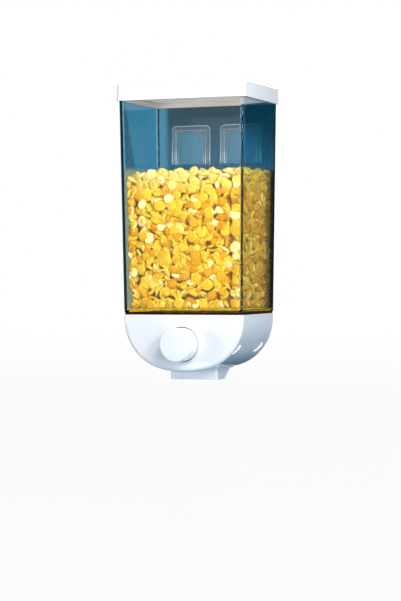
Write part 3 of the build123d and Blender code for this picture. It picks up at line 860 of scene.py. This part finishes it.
@dataclass(frozen=True)
class CerealFinish:
    """Baked cereal: yellow, some pale and some toasted pieces; painted highlights on rims, painted dark
    outlines of shade past `flank`.
    """

    level: float
    flank: float
    yellow: Colour = (0.505, 0.333, 0.014)
    pale: Colour = (0.67, 0.535, 0.235)
    toasted: Colour = (0.437, 0.193, 0.004)
    rim: Colour = (0.58, 0.418, 0.052)
    crest: Colour = (0.62, 0.53, 0.19)
    outline: Colour = (0.15, 0.065, 0.003)
    yellow_edge: Edge = (0.30, 0.3)
    rim_edge: Edge = (0.72, 0.25)
    rim_tone: Edge = (0.3, 0.2)
    rim_highlight_share: float = 0.6
    pale_edge: Edge = (0.86, 0.03)
    pale_flank: float = 0.10
    flank_soft: float = 0.002
    crest_depth: float = 0.012
    crest_share: float = 0.6
    outline_edge: Edge = (0.955, 0.035)
    crumb: float = 0.0022
    crumb_detail: float = 4.0
    crumb_least: float = 0.40
    crumb_share: float = 0.8
    pore: float = 0.0012
    pore_detail: float = 3.0
    pore_depth: float = 0.00015
    roughness: float = 0.5
    roughness_more: float = 0.2
    shine: float = 0.02

    def material(self) -> bpy.types.Material:
        """Each piece has its own tone, stored with the mesh and darkened with depth as painted shade, and a
        crumbly noise varies it.

        Returns:
            The material.
        """
        shader = Shader("cereal")
        x, _, z = shader.axes()
        tone, ring = shader.attribute("tone"), shader.attribute("ring")
        crumb = shader.noise(self.crumb, self.crumb_detail)
        flank = x.above(self.flank, self.flank_soft)
        colour = shader.blend(tone.above(*self.yellow_edge), self.toasted, self.yellow)
        # Painted highlight on the rims of the lighter pieces.
        rim = ring.above(*self.rim_edge) * tone.above(*self.rim_tone) * self.rim_highlight_share
        colour = shader.blend(rim, colour, self.rim)
        colour = shader.blend((tone + self.pale_flank * flank).above(*self.pale_edge), colour, self.pale)
        crest = z.above(self.level - self.crest_depth, self.crest_depth) * self.crest_share
        colour = shader.blend(crest, colour, self.crest)
        colour = shader.blend((crumb - self.crumb_least) * self.crumb_share, colour, self.toasted)
        # Painted shade: a dark outline around the rims past `flank`, for the contact shadows between pieces.
        colour = shader.blend(flank * ring.above(*self.outline_edge), colour, self.outline)
        normal = shader.bump(shader.noise(self.pore, self.pore_detail), self.pore_depth)
        gloss = self.roughness + self.roughness_more * crumb
        sockets = {"Base Color": colour, "Roughness": gloss, "Normal": normal}
        return shader.finish(shader.principled(sockets | {"Specular IOR Level": self.shine}))


@dataclass(frozen=True)
class Lens:
    """One cereal shape of unit radius and unit half thickness."""

    lobes: int
    wave: float
    dimple: float
    dimple_reach: float = 0.5
    fullness: int = 5
    roundness: float = 0.6
    segments: int = 10
    rings: Pair = (0.62, 0.90)

    def points(self) -> np.ndarray:
        """Radius 1 + wave * cos(lobes * angle); half thickness (1 - ring^fullness)^roundness less a dimple.

        Returns:
            Points: two rings of the upper side, the rim, two rings of the lower side, two poles.
        """
        angle = np.arange(self.segments) * 2.0 * np.pi / self.segments
        outline = 1.0 + self.wave * np.cos(self.lobes * angle)
        ring, turn = np.meshgrid(np.array(self.rings), angle, indexing="ij")
        reach = ring * outline[None, :]
        hollow = self.dimple * np.exp(-((ring / self.dimple_reach) ** 2))
        lift = (1.0 - ring**self.fullness) ** self.roundness - hollow
        upper = np.stack([reach * np.cos(turn), reach * np.sin(turn), lift], axis=-1).reshape(-1, 3)
        rim = np.stack([outline * np.cos(angle), outline * np.sin(angle), 0.0 * angle], axis=-1)
        poles = np.array([[0.0, 0.0, 1.0 - self.dimple], [0.0, 0.0, self.dimple - 1.0]])
        return np.vstack([upper, rim, upper * np.array([1.0, 1.0, -1.0]), poles])

    def faces(self) -> tuple[np.ndarray, np.ndarray]:
        """Joins the points of neighbouring rings, all faces pointing outwards.

        Returns:
            Triangles around the poles, and quads between the rings.
        """
        this = np.arange(self.segments)
        after = (this + 1) % self.segments
        starts = np.array([[0, 1], [1, 2], [2, 4], [4, 3]]) * self.segments
        quads = [np.stack([a + this, b + this, b + after, a + after], axis=-1) for a, b in starts]
        lower = 3 * self.segments
        pole = 5 * self.segments
        over = np.stack([this * 0 + pole, this, after], axis=-1)
        under = np.stack([this * 0 + pole + 1, lower + after, lower + this], axis=-1)
        return np.vstack([over, under]), np.vstack(quads)

    def ring_of(self) -> np.ndarray:
        """Distance from the middle for each point, 0 to 1."""
        each = np.repeat(np.array([*self.rings, 1.0, *self.rings]), self.segments)
        return np.concatenate([each, [0.0, 0.0]])


@dataclass
class Cereal:
    """A heap of round, lens-shaped cereal pieces behind the tank's walls, around a core painted dark as the
    shade deep in the heap.
    """

    tank: TankShape = SHAPE
    radius: Pair = (0.0040, 0.0055)
    height: Pair = (0.0013, 0.0019)
    bulge: float = 1.1
    spacing: float = 0.0052
    shell: float = 0.0130
    margin: float = 0.0015
    floor: float = 0.0024
    gap: float = 0.0003
    cling: float = 0.0065
    dip_from: float = -0.038
    dip_run: float = 0.016
    # How near the sides, the front or back, and the top a piece lies flat, and how strictly.
    near: Triple = (0.007, 0.007, 0.006)
    flatness: Triple = (0.4, 1.0, 0.7)
    tumble: Pair = (0.1, 1.5)
    # Painted shade: loss of tone per metre of depth in the heap, past the outermost layer.
    depth_shade: float = 25.0
    depth_shade_from: float = 0.006
    flank: float = 0.0075
    core: float = 0.0100
    core_lift: float = 0.004
    darts: int = 80000
    seed: int = 7
    shapes: tuple[Lens, ...] = (Lens(5, 0.03, 0.30), Lens(2, 0.10, 0.20), Lens(3, 0.05, 0.35))
    # Painted shade: the core's dark brown stands for the shade deep in the heap.
    shadowed_core: Moulded = Moulded("shadowed_core", (0.56, 0.25, 0.006), (0.44, 0.17, 0.004), 0.9, 0.003, 0.001)

    def __post_init__(self) -> None:
        """Starts the seeded random numbers and finds the heap's foot."""
        self.random = np.random.default_rng(self.seed)
        self.bottom = self.tank.foot + self.floor

    def room(self, points: np.ndarray) -> tuple[np.ndarray, np.ndarray, np.ndarray]:
        """Measures how deep points lie in the heap.

        Args:
            points: one row each, with Y from the tank's middle.

        Returns:
            Distances from the nearer side wall, from the front or back wall, and below the heap's top.
        """
        inner = self.tank.wall + self.gap
        aside = self.tank.width_at(points[:, 2]) - inner - np.abs(points[:, 0])
        away = self.tank.depth_at(points[:, 2]) - inner - np.abs(points[:, 1])
        dip = self.tank.dip * np.clip((self.dip_from - points[:, 0]) / self.dip_run, 0.0, 1.0)
        return aside, away, self.tank.level - dip - points[:, 2]

    def centres(self) -> np.ndarray:
        """Throws darts into the heap's outer shell and keeps those far enough from the earlier ones.

        Returns:
            The kept darts, one row each.
        """
        level = self.tank.level
        high = np.array([self.tank.width_at(level), self.tank.depth_at(level), level])
        low = np.array([-high[0], -high[1], self.bottom])
        darts = self.random.uniform(low, high, (self.darts, 3))
        aside, away, top = self.room(darts)
        near = np.minimum(np.minimum(aside, away), top)
        deep = np.minimum(near, darts[:, 2] - self.bottom)
        darts = darts[(deep > self.margin) & (near < self.shell)]
        kept = np.empty((0, 3))
        for dart in darts:
            if kept.size == 0 or np.min(np.sum((kept - dart) ** 2, axis=1)) > self.spacing**2:
                kept = np.vstack([kept, dart])
        return kept

    def normals(self, centres: np.ndarray) -> np.ndarray:
        """Lays pieces next to a wall mostly flat against it, those at the top flat, the rest anyhow.

        Args:
            centres: of the pieces.

        Returns:
            The direction that each piece faces.
        """
        count = len(centres)
        random = self.random.normal(size=(count, 3))
        random /= np.linalg.norm(random, axis=1, keepdims=True)
        flat = (np.stack(self.room(centres), axis=-1) < np.array(self.near)) * np.array(self.flatness)
        made = flat + random * self.random.uniform(*self.tumble, (count, 1))
        return made / np.linalg.norm(made, axis=1, keepdims=True)

    def settle(self, centres: np.ndarray, reach: np.ndarray) -> np.ndarray:
        """Pushes pieces inside the walls, and onto the wall or floor that is next to them.

        Args:
            centres: of the pieces.
            reach: how far each piece extends along each axis.

        Returns:
            The new centres.
        """
        inner = self.tank.wall + self.gap
        side = self.tank.width_at(centres[:, 2] - reach[:, 2]) - inner - reach[:, 0]
        face = self.tank.depth_at(centres[:, 2] - reach[:, 2]) - inner - reach[:, 1]
        bottom = self.bottom + reach[:, 2]
        x, y, z = centres.T
        x = np.where(np.abs(x) > side - self.cling, np.sign(x) * side, x)
        y = np.where(np.abs(y) > face - self.cling, np.sign(y) * face, y)
        z = np.where(z < bottom + self.cling, bottom, z)
        return np.stack([x, y, z], axis=-1)

    def pieces(self) -> bpy.types.Object:
        """Places the pieces and joins them to one mesh; each piece is a lens shape times its three axes.

        Returns:
            The object.
        """
        centres = self.centres()
        normals = self.normals(centres)
        count = len(centres)
        depth = np.min(np.stack(self.room(centres)), axis=0)
        radius = self.random.uniform(*self.radius, (count, 1))
        height = self.random.uniform(*self.height, (count, 1))
        reach = radius * self.bulge * np.sqrt(1.0 - normals**2) + height * np.abs(normals)
        centres = self.settle(centres, reach) + np.array([0.0, self.tank.centre_y, 0.0])
        first = np.cross(normals, self.random.normal(size=(count, 3)))
        first /= np.linalg.norm(first, axis=1, keepdims=True)
        second = np.cross(normals, first)
        axes = np.stack([first * radius, second * radius, normals * height], axis=1)
        shapes = np.stack([shape.points() for shape in self.shapes])
        chosen = shapes[self.random.integers(0, len(shapes), count)]
        points = np.einsum("npk,nkx->npx", chosen, axes) + centres[:, None, :]
        size = shapes.shape[1]
        start = (np.arange(count) * size)[:, None, None]
        triangles, quads = (start + faces[None] for faces in self.shapes[0].faces())
        faces = triangles.reshape(-1, 3).tolist() + quads.reshape(-1, 4).tolist()
        finish = CerealFinish(self.tank.level, self.tank.half_width - self.flank)
        made = add_mesh("cereal", points.reshape(-1, 3), faces, finish.material())
        # Painted shade: pieces deeper in the heap take a darker tone.
        depth_shade = self.depth_shade * np.maximum(depth - self.depth_shade_from, 0.0)
        tone = np.clip(self.random.uniform(0.0, 1.0, count) - depth_shade, 0.0, 1.0)
        set_values(made, "tone", np.repeat(tone, size))
        set_values(made, "ring", np.tile(self.shapes[0].ring_of(), count))
        log.info("cereal: %d pieces", count)
        return made

    def middle(self) -> bpy.types.Object:
        """The heap's core: a tapered block, painted dark brown as shade, that closes the gaps between the
        pieces.

        Returns:
            The object.
        """
        corners = np.array([[-1, -1], [1, -1], [1, 1], [-1, 1]], dtype=float)
        heights = np.array([self.bottom + self.core_lift, self.tank.level - self.core])
        half = np.stack([self.tank.width_at(heights), self.tank.depth_at(heights)], axis=-1) - self.core
        flat = (corners[None] * half[:, None, :]).reshape(-1, 2) + np.array([0.0, self.tank.centre_y])
        points = np.column_stack([flat, np.repeat(heights, 4)])
        faces = [(3, 2, 1, 0), (4, 5, 6, 7), (0, 1, 5, 4), (1, 2, 6, 5), (2, 3, 7, 6), (3, 0, 4, 7)]
        return add_mesh("cereal_core", points, faces, self.shadowed_core.material())

    def build(self) -> None:
        """Adds pieces and core, which go where the dispenser goes."""
        for made in (self.pieces(), self.middle()):
            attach(made, DISPENSER)


# Studio


@dataclass(frozen=True)
class Lamp:
    """A soft rectangular lamp aimed at a point."""

    name: str
    at: Point
    aim: Point
    size: Pair
    power: float
    colour: Colour = (1.0, 0.99, 0.95)
    along: Point | None = None

    def build(self) -> None:
        """Adds the lamp; its first side lies level, or follows `along`."""
        data = bpy.data.lights.new(self.name, "AREA")
        data.shape = "RECTANGLE"
        data.size, data.size_y = self.size
        data.energy = self.power
        data.color = self.colour
        lamp = bpy.data.objects.new(self.name, data)
        way = (Vector(self.aim) - Vector(self.at)).normalized()
        first = Vector(self.along) if self.along else way.cross(Vector((0.0, 0.0, 1.0)))
        first = (first - way * first.dot(way)).normalized()
        turn = Matrix((first, first.cross(way), -way)).transposed().to_4x4()
        lamp.matrix_world = Matrix.Translation(self.at) @ turn
        lamp.visible_camera = False
        bpy.context.scene.collection.objects.link(lamp)


STREAK = (0.030, 0.0015)
STREAK_POWER = 0.0008
# Place and aim of the lamps whose mirror images are the streaks on the base's side.
NEAR_STREAK = ((0.0563, 0.0566, -0.2349), (0.0469, -0.0841, -0.1848))
FAR_STREAK = ((0.0561, 0.1140, -0.2332), (0.0470, -0.0272, -0.1847))

LAMPS = (
    Lamp("key", (0.30, -0.45, 0.20), (0.0, -0.06, -0.06), (0.14, 0.14), 1.6),
    Lamp("side", (0.45, -0.35, 0.10), (0.0, -0.06, -0.02), (0.16, 0.16), 1.0, (0.90, 0.97, 1.0)),
    Lamp("fill", (0.50, -0.50, 0.05), (0.0, -0.06, -0.08), (0.14, 0.14), 0.90),
    Lamp("low", (0.85, -1.10, -0.15), (0.0, -0.06, -0.10), (0.35, 0.25), 2.7, (0.88, 0.95, 1.0)),
    Lamp("foot", (0.20, -1.30, -0.22), (0.0, -0.06, 0.0), (0.5, 0.12), 0.9, (1.0, 0.85, 0.70)),
    Lamp("left", (-0.80, -0.66, -0.13), (0.0, -0.09, -0.16), (0.2, 0.2), 3.2),
    Lamp("right", (0.70, -0.45, -0.27), (0.04, -0.06, -0.19), (0.15, 0.08), 0.5, (0.86, 0.93, 1.0)),
    Lamp("top", (-0.05, -0.05, 0.85), (0.0, -0.05, 0.05), (0.3, 0.3), 2.6),
    Lamp("back", (0.10, 0.95, 0.40), (0.0, 0.0, -0.08), (0.2, 0.2), 3.0),
    Lamp("streak_near", *NEAR_STREAK, STREAK, STREAK_POWER, along=(0.90, 0.14, 0.42)),
    Lamp("streak_far", *FAR_STREAK, STREAK, STREAK_POWER, along=(0.89, 0.19, 0.42)),
)


@dataclass(frozen=True)
class Studio:
    """Pale floor that curves up into a backdrop, soft lamps, dark cards, a world that is white to the eye."""

    floor: float = -0.335
    front: float = 3.0
    back: float = 1.6
    bend: float = 0.5
    rise: float = 3.0
    half_width: float = 4.0
    bend_from: float = 0.4
    bend_to: float = 0.7
    steps: int = 60
    columns: int = 9
    paper_tone: Colour = (0.29, 0.46, 0.62)
    paper_shade: Colour = (0.28, 0.45, 0.60)
    paper_patch: float = 0.3
    floor_glow: float = 0.94
    glow_rise: float = 0.06
    ambient: Colour = (0.30, 0.29, 0.44)
    strength: float = 0.5
    card_tone: Colour = (0.007, 0.027, 0.041)
    card_top: float = 2.5
    card_lift: float = 0.001
    # Opposite corners of the cards, seen from above.
    front_card: tuple[Pair, Pair] = ((-4.0, -2.6), (3.0, -2.6))
    right_card: tuple[Pair, Pair] = ((0.2, 1.0), (3.5, 0.2))
    floor_card: tuple[Pair, Pair] = ((-2.0, -1.5), (2.0, 1.0))
    lamps: tuple[Lamp, ...] = LAMPS

    def card(self, name: str, corners: list[Point]) -> None:
        """Adds a dark card that only mirrors see, so that the clear walls show no white veil.

        Args:
            name: of the card.
            corners: in order around it.
        """
        shader = Shader(name)
        material = shader.finish(shader.light("ShaderNodeEmission", self.card_tone))
        made = add_mesh(name, np.array(corners), [(0, 1, 2, 3)], material)
        made.visible_camera = made.visible_diffuse = made.visible_transmission = made.visible_shadow = False

    def cards(self) -> None:
        """Adds two upright cards and one that lies on the floor."""
        low, high = self.floor, self.card_top
        for name, (start, end) in (("flag_front", self.front_card), ("flag_right", self.right_card)):
            self.card(name, [(*start, low), (*end, low), (*end, high), (*start, high)])
        (left, near), (right, far) = self.floor_card
        lift = self.floor + self.card_lift
        flat = [(left, near), (right, near), (right, far), (left, far)]
        self.card("flag_floor", [(*corner, lift) for corner in flat])

    def cove(self) -> None:
        """Floor and backdrop: a path that runs back, turns up a quarter circle and rises, swept across X."""
        along = np.linspace(0.0, 1.0, self.steps)
        turn = np.clip((along - self.bend_from) / (self.bend_to - self.bend_from), 0.0, 1.0) * np.pi / 2.0
        run = np.clip(along / self.bend_from, 0.0, 1.0) * (self.back - self.bend + self.front) - self.front
        rise = np.clip((along - self.bend_to) / (1.0 - self.bend_to), 0.0, 1.0) * self.rise
        depth = run + self.bend * np.sin(turn)
        height = self.floor + self.bend * (1.0 - np.cos(turn)) + rise
        across = np.linspace(-self.half_width, self.half_width, self.columns)
        wide, deep = np.meshgrid(across, depth, indexing="ij")
        high = np.broadcast_to(height, wide.shape)
        points = np.stack([wide, deep, high], axis=-1).reshape(-1, 3)
        rows, columns = wide.shape
        corner = (np.arange(rows - 1)[:, None] * columns + np.arange(columns - 1)[None, :]).ravel()
        faces = np.stack([corner, corner + columns, corner + columns + 1, corner + 1], axis=-1)
        made = add_mesh("cove", points, faces, self.paper())

    def paper(self) -> bpy.types.Material:
        """Paper that is white to the eye, takes a faint shadow and sends back bluish light.

        Returns:
            The material.
        """
        shader = Shader("paper")
        tone = shader.blend(shader.noise(self.paper_patch), self.paper_tone, self.paper_shade)
        lit = shader.principled({"Base Color": tone, "Roughness": 1.0, "Specular IOR Level": 0.0})
        wall = shader.axes()[2].above(self.floor + self.glow_rise, self.glow_rise)
        glow = self.floor_glow + (1.0 - self.floor_glow) * wall
        white = shader.light("ShaderNodeEmission", WHITE_LIGHT)
        return shader.finish(shader.mix(shader.light_path(*SEEN) * glow, lit, white))

    def sky(self) -> None:
        """World: white to the eye, a dim blue for the light it gives."""
        world = bpy.data.worlds.new("sky")
        bpy.context.scene.world = world
        world.use_nodes = True
        shader = Shader("sky", world.node_tree)
        lit = shader.light("ShaderNodeBackground", self.ambient, self.strength)
        white = shader.light("ShaderNodeBackground", WHITE_LIGHT)
        shader.finish(shader.mix(shader.light_path(*SEEN), lit, white))

    def build(self) -> None:
        """Adds floor, world, cards and lamps."""
        self.cove()
        self.sky()
        self.cards()
        for lamp in self.lamps:
            lamp.build()
        bpy.context.scene.view_settings.view_transform = "Standard"


@dataclass(frozen=True)
class Eye:
    """The camera: degrees, metres and millimetres of lens, fitted to the photograph's edges."""

    azimuth: float = 21.2488
    pitch: float = 0.9206
    roll: float = 0.257
    at: Point = (0.603191, SHAPE.centre_y - 1.548749, SHAPE.foot + 0.036740)
    lens: float = 111.255
    sensor: float = 36.0

    def build(self) -> None:
        """Adds the camera and makes it the scene's own."""
        azimuth, pitch, roll = (math.radians(v) for v in (self.azimuth, self.pitch, self.roll))
        level = math.cos(pitch)
        ahead = Vector((-math.sin(azimuth) * level, math.cos(azimuth) * level, -math.sin(pitch)))
        right = Vector((math.cos(azimuth), math.sin(azimuth), 0.0))
        up = right.cross(ahead)
        turned_right = right * math.cos(roll) - up * math.sin(roll)
        turned_up = right * math.sin(roll) + up * math.cos(roll)
        data = bpy.data.cameras.new("eye")
        data.lens = self.lens
        data.sensor_width = self.sensor
        eye = bpy.data.objects.new("eye", data)
        turn = Matrix((turned_right, turned_up, -ahead)).transposed().to_4x4()
        eye.matrix_world = Matrix.Translation(self.at) @ turn
        bpy.context.scene.collection.objects.link(eye)
        bpy.context.scene.camera = eye


def main() -> None:
    """Dresses the dispenser, fills it and sets up the studio."""
    logging.basicConfig(level=logging.INFO)
    Housing(SLOT_FINISH, NODE_FINISH).dress()
    Springs().build()
    Cereal().build()
    Studio().build()
    Eye().build()


if __name__ == "__main__":
    main()
